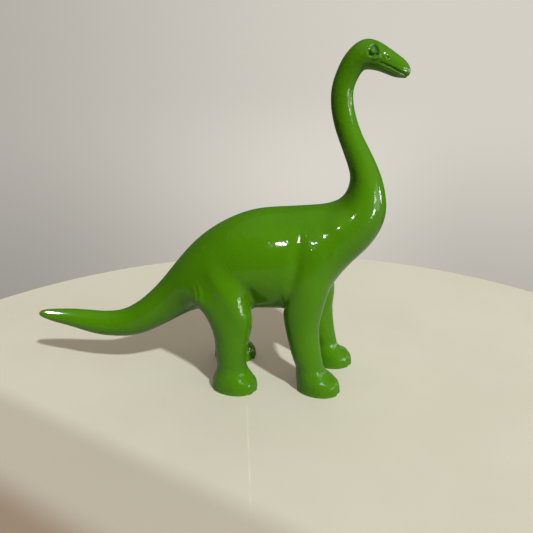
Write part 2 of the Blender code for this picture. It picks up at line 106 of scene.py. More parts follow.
def smooth(values: np.ndarray, low: float, high: float) -> np.ndarray:
    """Return how far each value is from low to high, smoothly from 0 to 1."""
    share = np.clip((values - low) / (high - low), 0, 1)
    return share * share * (3 - 2 * share)


def bell(values: np.ndarray, middle: float, width: float, steepness: float = 0.5) -> np.ndarray:
    """Return a soft bump of height 1 at the middle, which fades over the width."""
    return np.exp(-steepness * ((values - middle) / width) ** 2)


def place_tree(places: Sequence[Vector]) -> KDTree:
    """Sort some places for quick search.

    Args:
        places: The places, which keep their numbers.

    Returns:
        A tree that finds the nearest of them.
    """
    tree = KDTree(len(places))
    for number, place in enumerate(places):
        tree.insert(place, number)
    tree.balance()
    return tree


def pick(item: bpy.types.Object) -> None:
    """Select one object alone and make it the active one.

    Args:
        item: The object that the next operators work on.
    """
    bpy.ops.object.select_all(action='DESELECT')
    item.select_set(True)
    bpy.context.view_layer.objects.active = item


def add_item(name: str, data: bpy.types.ID) -> bpy.types.Object:
    """Put a new object into the scene.

    Args:
        name: The object's name.
        data: Its mesh, light or camera.

    Returns:
        The object, at the origin.
    """
    item = bpy.data.objects.new(name, data)
    bpy.context.scene.collection.objects.link(item)
    return item


def apply_modifiers(item: bpy.types.Object) -> None:
    """Apply every modifier of an object.

    Args:
        item: The object, which ends with none.
    """
    pick(item)
    for modifier in list(item.modifiers):
        bpy.ops.object.modifier_apply(modifier=modifier.name)


@dataclass(frozen=True)
class Section:
    """One slice of the body: its middle, half its depth, half its width, and its lean in degrees."""

    centre: Vector
    half_depth: float
    half_width: float
    lean: float

    def moved(self, shift: Vector) -> "Section":
        """Return the same slice at another place."""
        return Section(self.centre + shift, self.half_depth, self.half_width, self.lean)

    def ring(self) -> list[Vector]:
        """Lay out the slice's ring.

        Returns:
            The ring's points, from the back round by the left side.
        """
        back = lean_vector(self.lean) * self.half_depth / shrink(RING_POINTS)
        side = Vector((0, self.half_width / shrink(RING_POINTS), 0))
        turns = [2 * math.pi * number / RING_POINTS for number in range(RING_POINTS)]
        return [self.centre + back * math.cos(turn) + side * math.sin(turn) for turn in turns]


@dataclass(frozen=True)
class Cut:
    """A flat glue face: what lies past its place, along its way, is taken off."""

    place: Vector
    way: Vector

    def turned(self) -> "Cut":
        """Return the same face with the other side taken off."""
        return Cut(self.place, -self.way)


@dataclass(frozen=True)
class Stretch:
    """A stretch of the body's tube, as a table of slices.

    Each row holds the slice's place along the stretch and its rise, both as shares, then its depth and width
    as shares, and its lean in degrees.
    """

    along: Vector
    rise: Vector
    depth: float
    width: float
    rows: Rows

    def sections(self, start: Vector) -> list[Section]:
        """Return the slices of the stretch.

        Args:
            start: Where the stretch starts.

        Returns:
            One section for each row of the table.
        """
        return [Section(start + self.along * row[0] + self.rise * row[1], row[2] * self.depth / 2,
                        row[3] * self.width / 2, row[4]) for row in self.rows]


class Bench:
    """Edit-mode work on one mesh, with what an operator acts on selected by its place."""

    def __init__(self, item: bpy.types.Object) -> None:
        """Take an object onto the bench.

        Args:
            item: The mesh object that is worked on.
        """
        self.item = item

    def __enter__(self) -> "Bench":
        """Open the object in edit mode.

        Returns:
            The bench, with nothing selected.
        """
        pick(self.item)
        bpy.ops.object.mode_set(mode='EDIT')
        bpy.ops.mesh.select_mode(type='VERT')
        bpy.ops.mesh.select_all(action='DESELECT')
        return self

    def __exit__(self, *problem: object) -> None:
        """Leave edit mode."""
        bpy.ops.object.mode_set(mode='OBJECT')

    def _selected(self) -> list[bmesh.types.BMVert]:
        """Return the selected points, in their order in the mesh."""
        return [vert for vert in bmesh.from_edit_mesh(self.item.data).verts if vert.select]

    def _lay(self, starts: Sequence[Vector], ends: Sequence[Vector]) -> None:
        """Move each selected point from its start to the end of the same number.

        Args:
            starts: Where the points are.
            ends: Where they go.
        """
        tree = place_tree(starts)
        for vert in self._selected():
            vert.co = ends[tree.find(vert.co)[1]]
        bmesh.update_edit_mesh(self.item.data)

    def add_ring(self, places: Sequence[Vector]) -> None:
        """Add a circle and lay its points on the places of a ring.

        Args:
            places: The ring's points.
        """
        bpy.ops.mesh.primitive_circle_add(vertices=len(places), radius=1)
        for vert, place in zip(self._selected(), places):
            vert.co = place
        bmesh.update_edit_mesh(self.item.data)

    def select_loop(self, places: Sequence[Vector]) -> None:
        """Select the open edges whose two ends lie on the places.

        Args:
            places: Where the loop's points are.
        """
        bpy.ops.mesh.select_all(action='DESELECT')
        tree = place_tree(places)
        mesh = bmesh.from_edit_mesh(self.item.data)
        near = {vert.index for vert in mesh.verts if tree.find(vert.co)[2] < TOUCH}
        for edge in mesh.edges:
            if len(edge.link_faces) < 2 and all(vert.index in near for vert in edge.verts):
                edge.select_set(True)
        bmesh.update_edit_mesh(self.item.data)

    def extrude_loop(self, starts: Sequence[Vector], ends: Sequence[Vector]) -> None:
        """Extrude an open loop, and lay each of its points on the end of the same number.

        Args:
            starts: Where the loop's points are.
            ends: Where the new loop's points go.
        """
        self.select_loop(starts)
        bpy.ops.mesh.extrude_region()
        self._lay(starts, ends)

    def open_patch(self, places: Sequence[Vector]) -> None:
        """Delete some points, with the faces round them.

        Args:
            places: Where the points are.
        """
        bpy.ops.mesh.select_all(action='DESELECT')
        tree = place_tree(places)
        for vert in bmesh.from_edit_mesh(self.item.data).verts:
            if tree.find(vert.co)[2] < TOUCH:
                vert.select_set(True)
        bpy.ops.mesh.delete(type='VERT')

    def close_loop(self, ring: Sequence[Vector], first_corner: int, dome: Vector) -> None:
        """Fill a loop of 4 n points with n by n quads, raised by a dome in the middle.

        Args:
            ring: Where the loop's points are.
            first_corner: Which of them is the patch's first corner.
            dome: How far the middle stands out of the loop.
        """
        self.select_loop(ring)
        mesh = bmesh.from_edit_mesh(self.item.data)
        mesh.select_history.add(min(mesh.verts, key=lambda vert: (vert.co - ring[first_corner]).length))
        count = len(ring) // 4
        bpy.ops.mesh.fill_grid(span=count, offset=0)
        corners = [ring[(first_corner + count * number) % len(ring)] for number in range(4)]
        middle = sum(ring, Vector()) / len(ring)
        ahead = (corners[0] + corners[3] - corners[1] - corners[2]) / 2
        out = (corners[0] + corners[1] - corners[2] - corners[3]) / 2
        tree = place_tree(ring)
        for vert in self._selected():
            if tree.find(vert.co)[2] < TOUCH:
                continue
            reach = vert.co - middle
            u = round(reach.dot(ahead) / ahead.length_squared * math.sqrt(2) * count / 2) * 2 / count
            v = round(reach.dot(out) / out.length_squared * math.sqrt(2) * count / 2) * 2 / count
            on_disc = ahead * u * math.sqrt(1 - v * v / 2) + out * v * math.sqrt(1 - u * u / 2)
            vert.co = middle + on_disc / math.sqrt(2) + dome * (1 - (u * u + v * v) / 2)
        bmesh.update_edit_mesh(self.item.data)


@dataclass(frozen=True)
class Leg:
    """One leg and its foot, grown out of a patch of the trunk.

    Each row of the table is a ring: its height, its outward tilt, its shift forward, its swell, and how much
    of the foot's plan it has, all as shares.
    """

    pair: Pair
    side: Side
    trunk_row: int
    foot_length: float
    centre: Vector
    rows: Rows
    thickness: float = 18.0 * MM
    width: float = 17.5 * MM
    height: float = 46.0 * MM
    foot_width: float = 20.0 * MM
    joint_height: float = 41.0 * MM
    first_corner: float = math.radians(45)

    @property
    def name(self) -> str:
        """Return the leg's name, as its CAD nodes end."""
        return f"{self.pair.value}_{self.side.name.lower()}"

    def ring(self, row: Sequence[float]) -> list[Vector]:
        """Lay out one ring of the leg.

        Args:
            row: The ring's row of the table.

        Returns:
            The ring's points, from its front outer corner round by the outer side.
        """
        height, tilt, forward, swell, foot = row
        length = (self.thickness + foot * (self.foot_length - self.thickness)) * swell
        width = (self.width + foot * (self.foot_width - self.width)) * math.sqrt(swell)
        ring = []
        for number in range(LEG_POINTS):
            angle = self.first_corner + 2 * math.pi * number / LEG_POINTS
            ahead = math.cos(angle) * length / 2 / shrink(LEG_POINTS)
            out = math.sin(angle) * width / 2 / shrink(LEG_POINTS)
            lift = height * self.height + tilt * self.width * math.sin(angle)
            ring.append(self.centre + Vector((forward * self.foot_length + ahead, self.side.value * out,
                                              lift)))
        return ring

    def grow(self, bench: Bench, rings: Sequence[Sequence[Vector]]) -> None:
        """Open the leg's patch of the trunk and extrude the leg from it.

        Args:
            bench: The bench that holds the skin.
            rings: The rings of the trunk.
        """
        def place(step: int, number: int) -> Vector:
            """Return a point of the trunk, so many rings past the patch's first, on the leg's side."""
            return rings[self.trunk_row + step][(self.side.value * number) % RING_POINTS]

        top, low = LEG_TOP_POINT, LEG_TOP_POINT + LEG_SPAN
        upper = [place(step, top) for step in range(LEG_SPAN, 0, -1)]
        upper += [place(0, number) for number in range(top, low)]
        upper += [place(step, low) for step in range(LEG_SPAN)]
        upper += [place(LEG_SPAN, number) for number in range(low, top, -1)]
        bench.open_patch([place(step, number) for step in range(1, LEG_SPAN)
                          for number in range(top + 1, low)])
        for row in self.rows:
            lower = self.ring(row)
            bench.extrude_loop(upper, lower)
            upper = lower
        bench.close_loop(upper, 0, Vector())


@dataclass
class Plan:
    """The figure's sizes, and the places of its slices, legs and glue joints."""

    belly_height: float = 47.3 * MM
    trunk: Stretch = field(default_factory=lambda: Stretch(
        Vector((120.0 * MM, 0, 0)), Vector((0, 0, 61.7 * MM)), 61.7 * MM, 54.0 * MM, (
            (0.000, 0.170, 0.488, 0.580, 29.0), (0.076, 0.293, 0.640, 0.760, 15.5),
            (0.159, 0.384, 0.781, 0.885, 8.0), (0.258, 0.454, 0.892, 0.960, 3.0),
            (0.354, 0.494, 0.967, 0.985, 0.0), (0.438, 0.506, 0.990, 1.000, 0.0),
            (0.521, 0.514, 0.992, 0.990, 0.0), (0.608, 0.530, 0.985, 0.970, 0.0),
            (0.685, 0.575, 0.915, 0.930, 2.0), (0.748, 0.668, 0.756, 0.860, 4.0),
            (0.808, 0.782, 0.598, 0.780, 12.0), (0.865, 0.883, 0.545, 0.700, 25.0),
            (0.901, 1.000, 0.506, 0.622, 37.0), (0.918, 1.118, 0.459, 0.545, 49.0))))
    tail: Stretch = field(default_factory=lambda: Stretch(
        Vector((-99.5 * MM, 0, 0)), Vector((0, 0, -27.6 * MM)), 24.8 * MM, 24.8 * MM, (
            (0.085, 0.270, 1.000, 1.000, 41.0), (0.211, 0.610, 0.857, 0.857, 35.0),
            (0.312, 0.822, 0.789, 0.789, 25.0), (0.392, 0.934, 0.729, 0.729, 15.0),
            (0.467, 0.973, 0.669, 0.669, 5.0), (0.548, 0.986, 0.639, 0.639, -2.0),
            (0.648, 0.945, 0.586, 0.586, -8.0), (0.769, 0.862, 0.466, 0.466, -10.0),
            (0.849, 0.840, 0.391, 0.391, -8.0), (0.920, 0.812, 0.308, 0.308, -7.0),
            (0.973, 0.790, 0.200, 0.200, -6.0))))
    neck: Stretch = field(default_factory=lambda: Stretch(
        Vector((-15.9 * MM, 0, 0)), Vector((0, 0, 66.8 * MM)), 24.4 * MM, 25.0 * MM, (
            (0.03, 0.10, 0.990, 1.000, 58.0), (0.14, 0.20, 0.890, 0.865, 66.0),
            (0.30, 0.30, 0.810, 0.745, 71.0), (0.51, 0.41, 0.735, 0.650, 74.0),
            (0.78, 0.54, 0.600, 0.550, 80.0), (0.97, 0.68, 0.520, 0.495, 88.0),
            (1.06, 0.82, 0.484, 0.470, 90.0), (1.00, 0.92, 0.482, 0.470, 81.0),
            (0.86, 1.00, 0.490, 0.495, 68.0))))
    head: Stretch = field(default_factory=lambda: Stretch(
        Vector((32.0 * MM, 0, 0)), Vector((0, 0, 9.0 * MM)), 14.8 * MM, 15.2 * MM, (
            (0.058, 0.42, 0.850, 0.86, 51.0), (0.144, 0.80, 0.910, 0.94, 31.0),
            (0.258, 1.00, 1.000, 1.00, 14.0), (0.398, 0.99, 1.020, 1.00, 5.0),
            (0.552, 0.79, 0.890, 0.92, -10.0), (0.690, 0.51, 0.770, 0.81, -21.0),
            (0.823, 0.25, 0.700, 0.72, -27.0), (0.922, 0.08, 0.500, 0.54, -31.0))))
    front_rows: Rows = (
        (1.110, 0.35, -0.385, 1.24, 0.00), (0.957, 0.12, -0.405, 1.13, 0.00),
        (0.780, 0.00, -0.372, 1.05, 0.00), (0.565, 0.00, -0.313, 1.00, 0.00),
        (0.390, 0.00, -0.240, 0.95, 0.00), (0.283, 0.00, -0.200, 0.97, 0.07),
        (0.187, 0.00, -0.090, 1.00, 0.62), (0.087, 0.00, -0.010, 1.00, 1.00),
        (-0.130, 0.00, 0.000, 1.00, 0.98))
    hind_rows: Rows = (
        (1.087, 0.35, -0.100, 1.52, 0.00), (0.935, 0.10, -0.040, 1.36, 0.00),
        (0.780, 0.00, 0.000, 1.20, 0.00), (0.587, 0.00, -0.040, 1.06, 0.00),
        (0.400, 0.00, -0.055, 0.98, 0.00), (0.280, 0.00, -0.040, 1.00, 0.10),
        (0.185, 0.00, -0.010, 1.00, 0.62), (0.087, 0.00, 0.000, 1.00, 0.97),
        (-0.130, 0.00, 0.000, 1.00, 1.00))
    front_row: int = 6
    hind_row: int = 1
    front_foot: float = 26.0 * MM
    hind_foot: float = 28.0 * MM
    front_track: float = 34.5 * MM
    hind_track: float = 39.0 * MM
    hind_reach: float = 29.4 * MM
    stance: float = 58.6 * MM
    front_step: float = 3.8 * MM
    hind_step: float = 3.1 * MM
    neck_joint_lean: float = 5.0
    head_joint_lean: float = -33.0
    tail_joint_lean: float = 132.0

    def __post_init__(self) -> None:
        """Work out the slices, the legs and the glue joints from the sizes."""
        trunk = self.trunk.sections(Vector((0, 0, self.belly_height)))
        tail = self.tail.sections(trunk[0].centre)
        neck = self.neck.sections(trunk[-1].centre)
        head = self.head.sections(neck[-1].centre)
        tip = trunk[0].centre.x + self.tail.along.x
        snout = neck[-1].centre.x + self.head.along.x
        shift = Vector((-(tip + snout) / 2, 0, 0))
        self.trunk_sections = [section.moved(shift) for section in trunk]
        self.tail_sections = [section.moved(shift) for section in tail]
        self.neck_sections = [section.moved(shift) for section in neck]
        self.head_sections = [section.moved(shift) for section in head]
        self.legs = [self._leg(pair, side) for side in Side for pair in Pair]
        root = (self.trunk_sections[0].centre + self.tail_sections[0].centre) / 2
        self.neck_joint = Cut(self.neck_sections[0].centre, lean_vector(self.neck_joint_lean))
        self.head_joint = Cut(self.head_sections[0].centre, lean_vector(self.head_joint_lean))
        self.tail_joint = Cut(root, lean_vector(self.tail_joint_lean))
        fall = root.z - self.legs[0].joint_height
        way = self.tail_joint.way
        self.leg_line = Cut(root + Vector((fall * way.z / way.x, 0, -fall)), AHEAD)
        behind = self.trunk_sections[self.hind_row + LEG_SPAN].centre
        self.between_legs = Cut((behind + self.trunk_sections[self.front_row].centre) / 2, AHEAD)

    def _leg(self, pair: Pair, side: Side) -> Leg:
        """Place one leg, in mid stride.

        Args:
            pair: Which pair of legs it is of.
            side: Which side it is on.

        Returns:
            The leg, with the middle of its footprint.
        """
        hind_x = self.trunk_sections[0].centre.x + self.hind_reach
        if pair is Pair.FRONT:
            x = hind_x + self.stance + side.value * self.front_step
            return Leg(pair, side, self.front_row, self.front_foot,
                       Vector((x, side.value * self.front_track / 2, 0)), self.front_rows)
        x = hind_x - side.value * self.hind_step
        return Leg(pair, side, self.hind_row, self.hind_foot,
                   Vector((x, side.value * self.hind_track / 2, 0)), self.hind_rows)

    def rings(self) -> list[list[Vector]]:
        """Return the rings of the whole body, from the tail's tip to the snout."""
        sections = self.tail_sections[::-1] + self.trunk_sections + self.neck_sections + self.head_sections
        return [section.ring() for section in sections]

    def tail_dome(self) -> Vector:
        """Return how far the tail's tip stands out of its last ring."""
        return self.tail.along * (1 - self.tail.rows[-1][0])

    def snout_dome(self) -> Vector:
        """Return how far the snout stands out of its last ring."""
        way = lean_vector(self.head_sections[-1].lean - 90)
        return way * (1 - self.head.rows[-1][0]) * self.head.along.x / way.x


class Relief:
    """A form that is carved into the skin. A dark one also has shade painted into its grooves."""

    paints_fold_shade = False

    def carve(self, points: np.ndarray) -> np.ndarray:
        """Return the height that the form gives each point.

        Args:
            points: The points' places, in millimetres.

        Returns:
            One height for each point, in millimetres.
        """
        raise NotImplementedError


@dataclass(frozen=True)
class Stroke(Relief):
    """A groove or ridge drawn on the side view of the figure, the same on both sides.

    Each row of the path holds X, Z and a strength, in millimetres and as a share. The width is how soft the
    stroke's edge is, and a height below nothing sinks it. It is left out nearer the middle than clear.
    """

    path: Rows
    width: float
    height: float
    clear: float = 0.0
    # Whether the lacquer gets painted shade in the stroke's groove.
    paints_fold_shade: bool = False
    fade: float = 0.5

    def carve(self, points: np.ndarray) -> np.ndarray:
        """Return the height that the stroke gives each point.

        Args:
            points: The points' places, in millimetres.

        Returns:
            One height for each point, in millimetres.
        """
        best = np.zeros(len(points))
        flat = points[:, (0, 2)]
        for start, end in zip(self.path, self.path[1:]):
            a, b = np.array(start[:2]), np.array(end[:2])
            share = np.clip((flat - a) @ (b - a) / ((b - a) @ (b - a)), 0, 1)
            gap = np.linalg.norm(flat - a - share[:, None] * (b - a), axis=1)
            strength = start[2] + share * (end[2] - start[2])
            best = np.maximum(best, strength * bell(gap, 0, self.width))
        return self.height * best * smooth(np.abs(points[:, 1]), self.clear - self.fade, self.clear + self.fade)


@dataclass(frozen=True)
class Swell(Relief):
    """A soft bulge or hollow, the same on both sides, in millimetres."""

    centre: Place
    radii: Place
    height: float

    def carve(self, points: np.ndarray) -> np.ndarray:
        """Return the height that the bulge gives each point.

        Args:
            points: The points' places, in millimetres.

        Returns:
            One height for each point, in millimetres.
        """
        mirrored = np.stack((points[:, 0], np.abs(points[:, 1]), points[:, 2]), axis=1)
        reach = (mirrored - np.array(self.centre)) / np.array(self.radii)
        return self.height * np.exp(-0.5 * (reach ** 2).sum(axis=1))


@dataclass(frozen=True)
class Ball(Relief):
    """A ball that stands out of both sides of the head, in millimetres of the side view."""

    centre: tuple[float, float]
    half_width: float
    half_height: float
    height: float
    clear: float = 2.0

    def carve(self, points: np.ndarray) -> np.ndarray:
        """Return the height that the ball gives each point.

        Args:
            points: The points' places, in millimetres.

        Returns:
            One height for each point, in millimetres.
        """
        reach = ((points[:, 0] - self.centre[0]) / self.half_width) ** 2 \
            + ((points[:, 2] - self.centre[1]) / self.half_height) ** 2
        dome = self.height * np.sqrt(np.clip(1 - reach, 0, 1))
        return np.where(np.abs(points[:, 1]) > self.clear, dome, 0)


@dataclass(frozen=True)
class Ripple(Relief):
    """The faint waviness of sprayed lacquer: many small waves, each with its own way, stronger in patches."""

    height: float
    shortest: float
    longest: float
    waves: int = 36
    patch: float = 26.0
    patch_waves: int = 4
    patch_edge: Edge = (-0.5, 2.0)
    between_patches: float = 0.35
    seed: int = 5

    def carve(self, points: np.ndarray) -> np.ndarray:
        """Return the height that the waviness gives each point.

        Args:
            points: The points' places, in millimetres.

        Returns:
            One height for each point, in millimetres.
        """
        draw = np.random.default_rng(self.seed)
        total = np.zeros(len(points))
        for length in np.geomspace(self.shortest, self.longest, self.waves):
            way = draw.normal(size=3)
            way *= 2 * math.pi / length / np.linalg.norm(way)
            total += np.sin(points @ way + draw.uniform(0, 2 * math.pi)) * length / self.longest
        patches = np.zeros(len(points))
        for way in draw.normal(size=(self.patch_waves, 3)) * 2 * math.pi / self.patch:
            patches += np.sin(points @ way + draw.uniform(0, 2 * math.pi))
        strength = self.between_patches + smooth(patches, *self.patch_edge)
        return self.height * total / math.sqrt(self.waves / 2) * strength


@dataclass(frozen=True)
class Foot(Relief):
    """The carving of one foot: small toes round its front, a flared rim and a drawn-in ankle.

    Turns are in degrees round the foot, from straight ahead and positive outwards, and heights in
    millimetres. Each flare is its height, its turn and its width, and the ankle and the shoulder are given by
    the middle and the width of their bells. A top is where a form ends, and below which it is full.
    """

    leg: Leg
    toes: tuple[float, ...] = (-42.0, -14.0, 14.0, 42.0)
    toe_spacing: float = 28.0
    toe_swell: float = 0.45
    toe_steepness: float = 1.4
    toe_top: Edge = (9.0, 5.0)
    groove: float = 0.32
    groove_width: float = 3.2
    groove_top: Edge = (8.5, 4.0)
    flares: Rows = ((1.5, 62.0, 38.0), (0.75, -75.0, 34.0))
    flare_top: Edge = (11.0, 5.0)
    ankle: float = -0.5
    ankle_height: tuple[float, float] = (15.5, 3.0)
    ankle_turn: Edge = (25.0, 60.0)
    shoulder: float = -1.1
    shoulder_height: tuple[float, float] = (12.0, 2.6)
    shoulder_turn: tuple[float, float] = (35.0, 45.0)
    top: float = 26.0
    reach: float = 1.6

    def carve(self, points: np.ndarray) -> np.ndarray:
        """Return the height that the foot's carving gives each point.

        Args:
            points: The points' places, in millimetres.

        Returns:
            One height for each point, in millimetres.
        """
        centre = np.array(self.leg.centre) / MM
        ahead = points[:, 0] - centre[0]
        out = (points[:, 1] - centre[1]) * self.leg.side.value
        up = points[:, 2]
        length, width = self.leg.foot_length / MM / 2, self.leg.foot_width / MM / 2
        turn = np.degrees(np.arctan2(out / width, ahead / length))
        rim = np.sqrt((ahead / length) ** 2 + (out / width) ** 2)
        height = np.zeros(len(points))
        for flare, middle, spread in self.flares:
            height += flare * bell(turn, middle, spread, 1) * smooth(up, *self.flare_top)
        height += self.ankle * bell(up, *self.ankle_height) * smooth(np.abs(turn), *self.ankle_turn)
        height += self.shoulder * bell(up, *self.shoulder_height) * bell(turn, *self.shoulder_turn, 1)
        for toe in self.toes:
            away = (turn - toe) / self.toe_spacing * 2
            height += self.toe_swell * np.exp(-(away * self.toe_steepness) ** 2) * smooth(up, *self.toe_top)
        for toe in self.toes[:-1]:
            edge = toe + self.toe_spacing / 2
            height -= self.groove * bell(turn, edge, self.groove_width) * smooth(up, *self.groove_top)
        return np.where((up < self.top) & (rim < self.reach), height, 0)


class Skin:
    """The figure's whole outer skin, from which every moulding is cut."""

    RAISED = 2.5
    SUNK = 2.5
    FOLD = 0.5
    LEAST_WEIGHT = 1e-4
    LEVELS = 4
    QUICK_LEVELS = 3

    def __init__(self, plan: Plan, reliefs: Sequence[Relief]) -> None:
        """Start an empty skin.

        Args:
            plan: The figure's sizes and places.
            reliefs: What is carved into the skin.
        """
        self.plan = plan
        self.reliefs = reliefs
        self.item = add_item("figure_skin", bpy.data.meshes.new("figure_skin"))

    def build(self) -> None:
        """Extrude the cage, round it and carve it."""
        rings = self.plan.rings()
        first_trunk = len(self.plan.tail_sections)
        with Bench(self.item) as bench:
            bench.add_ring(rings[0])
            for start, end in zip(rings, rings[1:]):
                bench.extrude_loop(start, end)
            bench.close_loop(rings[0], RING_POINTS // 8, self.plan.tail_dome())
            bench.close_loop(rings[-1], RING_POINTS // 8, self.plan.snout_dome())
            for leg in self.plan.legs:
                leg.grow(bench, rings[first_trunk:first_trunk + len(self.plan.trunk_sections)])
            bpy.ops.mesh.select_all(action='SELECT')
            bpy.ops.mesh.normals_make_consistent(inside=False)
        self._round(self.LEVELS)
        self._carve()

    def _round(self, levels: int) -> None:
        """Subdivide the skin for good.

        Args:
            levels: How many times it is subdivided.
        """
        rounder = self.item.modifiers.new("Round", 'SUBSURF')
        rounder.levels = levels
        rounder.render_levels = levels
        apply_modifiers(self.item)

    def _carve(self) -> None:
        """Raise and sink the skin as its reliefs say, and keep how deep each point lies in a dark fold, where
        the lacquer gets painted shade.
        """
        mesh = self.item.data
        points = np.empty(len(mesh.vertices) * 3)
        mesh.vertices.foreach_get("co", points)
        points = points.reshape(-1, 3) / MM
        total = sum(relief.carve(points) for relief in self.reliefs)
        # How deep the dark reliefs sink each point, kept for the painted shade in their grooves.
        shaded = sum(relief.carve(points) for relief in self.reliefs if relief.paints_fold_shade)
        self._displace("Raise", np.clip(total, 0, None) / self.RAISED, self.RAISED * MM)
        self._displace("Sink", np.clip(-total, 0, None) / self.SUNK, -self.SUNK * MM)
        fold = mesh.attributes.new("fold", 'FLOAT', 'POINT')
        fold.data.foreach_set("value", np.clip(-shaded / self.FOLD, 0, 1))
        apply_modifiers(self.item)

    def _displace(self, name: str, weights: np.ndarray, strength: float) -> None:
        """Move the skin along its normals by weighted amounts.

        Args:
            name: The name of the weights and of the step.
            weights: How much of the strength each point gets.
            strength: How far a point of full weight moves, in metres.
        """
        group = self.item.vertex_groups.new(name=name)
        for number in np.nonzero(weights > self.LEAST_WEIGHT)[0]:
            group.add([int(number)], float(min(weights[number], 1)), 'REPLACE')
        step = self.item.modifiers.new(name, 'DISPLACE')
        step.vertex_group = name
        step.mid_level = 0
        step.strength = strength


class Wire:
    """One value in a material's node tree, with arithmetic that adds the nodes it needs."""

    def __init__(self, board: "Board", socket: bpy.types.NodeSocket) -> None:
        """Hold a socket.

        Args:
            board: The node tree that the socket is in.
            socket: The output that the value comes from.
        """
        self.board = board
        self.socket = socket

    def _math(self, operation: str, *values: "Value") -> "Wire":
        """Return the result of one Math node."""
        return self.board.node('ShaderNodeMath', {"operation": operation}, dict(enumerate(values)))

    def __add__(self, other: "Value") -> "Wire":
        """Return the sum."""
        return self._math('ADD', self, other)

    def __radd__(self, other: "Value") -> "Wire":
        """Return the sum, with the plain number first."""
        return self._math('ADD', other, self)

    def __sub__(self, other: "Value") -> "Wire":
        """Return the difference."""
        return self._math('SUBTRACT', self, other)

    def __rsub__(self, other: "Value") -> "Wire":
        """Return the difference, with the plain number first."""
        return self._math('SUBTRACT', other, self)

    def __mul__(self, other: "Value") -> "Wire":
        """Return the product."""
        return self._math('MULTIPLY', self, other)

    def __rmul__(self, other: "Value") -> "Wire":
        """Return the product, with the plain number first."""
        return self._math('MULTIPLY', other, self)

    def __truediv__(self, other: "Value") -> "Wire":
        """Return the quotient."""
        return self._math('DIVIDE', self, other)

    def __rtruediv__(self, other: "Value") -> "Wire":
        """Return the quotient, with the plain number first."""
        return self._math('DIVIDE', other, self)

    def ramp(self, low: float, high: float) -> "Wire":
        """Return how far the value is from low to high, smoothly from 0 to 1."""
        return self.board.node('ShaderNodeMapRange', {"interpolation_type": 'SMOOTHSTEP'},
                               {"Value": self, "From Min": low, "From Max": high})


Value = Union[Wire, float, tuple, Vector]


@dataclass(frozen=True)
class Grain:
    """A noise of the place: features to the metre, how many finer layers it has and how strong they are."""

    scale: float
    detail: float = 2.0
    roughness: float = 0.5


class Board:
    """The node tree of one material or world."""

    def __init__(self, owner: Union[bpy.types.Material, bpy.types.World]) -> None:
        """Clear a node tree.

        Args:
            owner: The material or world whose nodes are laid out.
        """
        owner.use_nodes = True
        self.owner = owner
        self.tree = owner.node_tree
        self.tree.nodes.clear()

    def node(self, kind: str, settings: Optional[dict[str, object]] = None,
             values: Optional[dict[Union[str, int], Value]] = None,
             output: Union[str, int] = 0) -> Wire:
        """Add a node: its settings first, then its values and links.

        Args:
            kind: The node's type.
            settings: Properties of the node.
            values: What goes into its inputs, by name or number.
            output: The output that is returned.

        Returns:
            The chosen output.
        """
        node = self.tree.nodes.new(kind)
        for name, setting in (settings or {}).items():
            setattr(node, name, setting)
        for name, value in (values or {}).items():
            if isinstance(value, Wire):
                self.tree.links.new(value.socket, node.inputs[name])
            else:
                node.inputs[name].default_value = value
        return Wire(self, node.outputs[output] if node.outputs else None)

    def place(self) -> Wire:
        """Return the point's place on the object, in metres."""
        return self.node('ShaderNodeTexCoord', output="Object")

    def parts(self, way: Wire, axes: str) -> list[Wire]:
        """Return the parts of a vector along the named axes."""
        return [self.node('ShaderNodeSeparateXYZ', None, {"Vector": way}, output=axis) for axis in axes]

    def noise(self, grain: Grain) -> Wire:
        """Return a noise of the point's place, from 0 to 1."""
        return self.node('ShaderNodeTexNoise', None, {
            "Vector": self.place(), "Scale": grain.scale, "Detail": grain.detail, "Roughness": grain.roughness})

    def mix(self, share: Value, first: Value, second: Value) -> Wire:
        """Return a colour between two colours."""
        return self.node('ShaderNodeMix', {"data_type": 'RGBA'}, {0: share, 6: first, 7: second}, output=2)

    def attribute(self, name: str) -> Wire:
        """Return a value that the mesh keeps for each point."""
        return self.node('ShaderNodeAttribute', {"attribute_name": name}, output="Fac")

    def ray(self, kind: str) -> Wire:
        """Return 1 for rays of a kind, Camera or Glossy, and 0 for the others."""
        return self.node('ShaderNodeLightPath', output=f"Is {kind} Ray")

    def bump(self, strength: float, depth: float, height: Wire) -> Wire:
        """Return the normal of a surface whose relief is so many metres deep."""
        return self.node('ShaderNodeBump', None, {"Strength": strength, "Distance": depth, "Height": height})

    def dressed(self, values: dict[Union[str, int], Value]) -> bpy.types.Material:
        """Return the material, with a Principled shader of these values on its output."""
        return self.surface('ShaderNodeOutputMaterial', self.node('ShaderNodeBsdfPrincipled', None, values))

    def surface(self, output: str, shader: Wire) -> Union[bpy.types.Material, bpy.types.World]:
        """Return the material or world, with a shader on its output."""
        self.node(output, None, {"Surface": shader})
        return self.owner


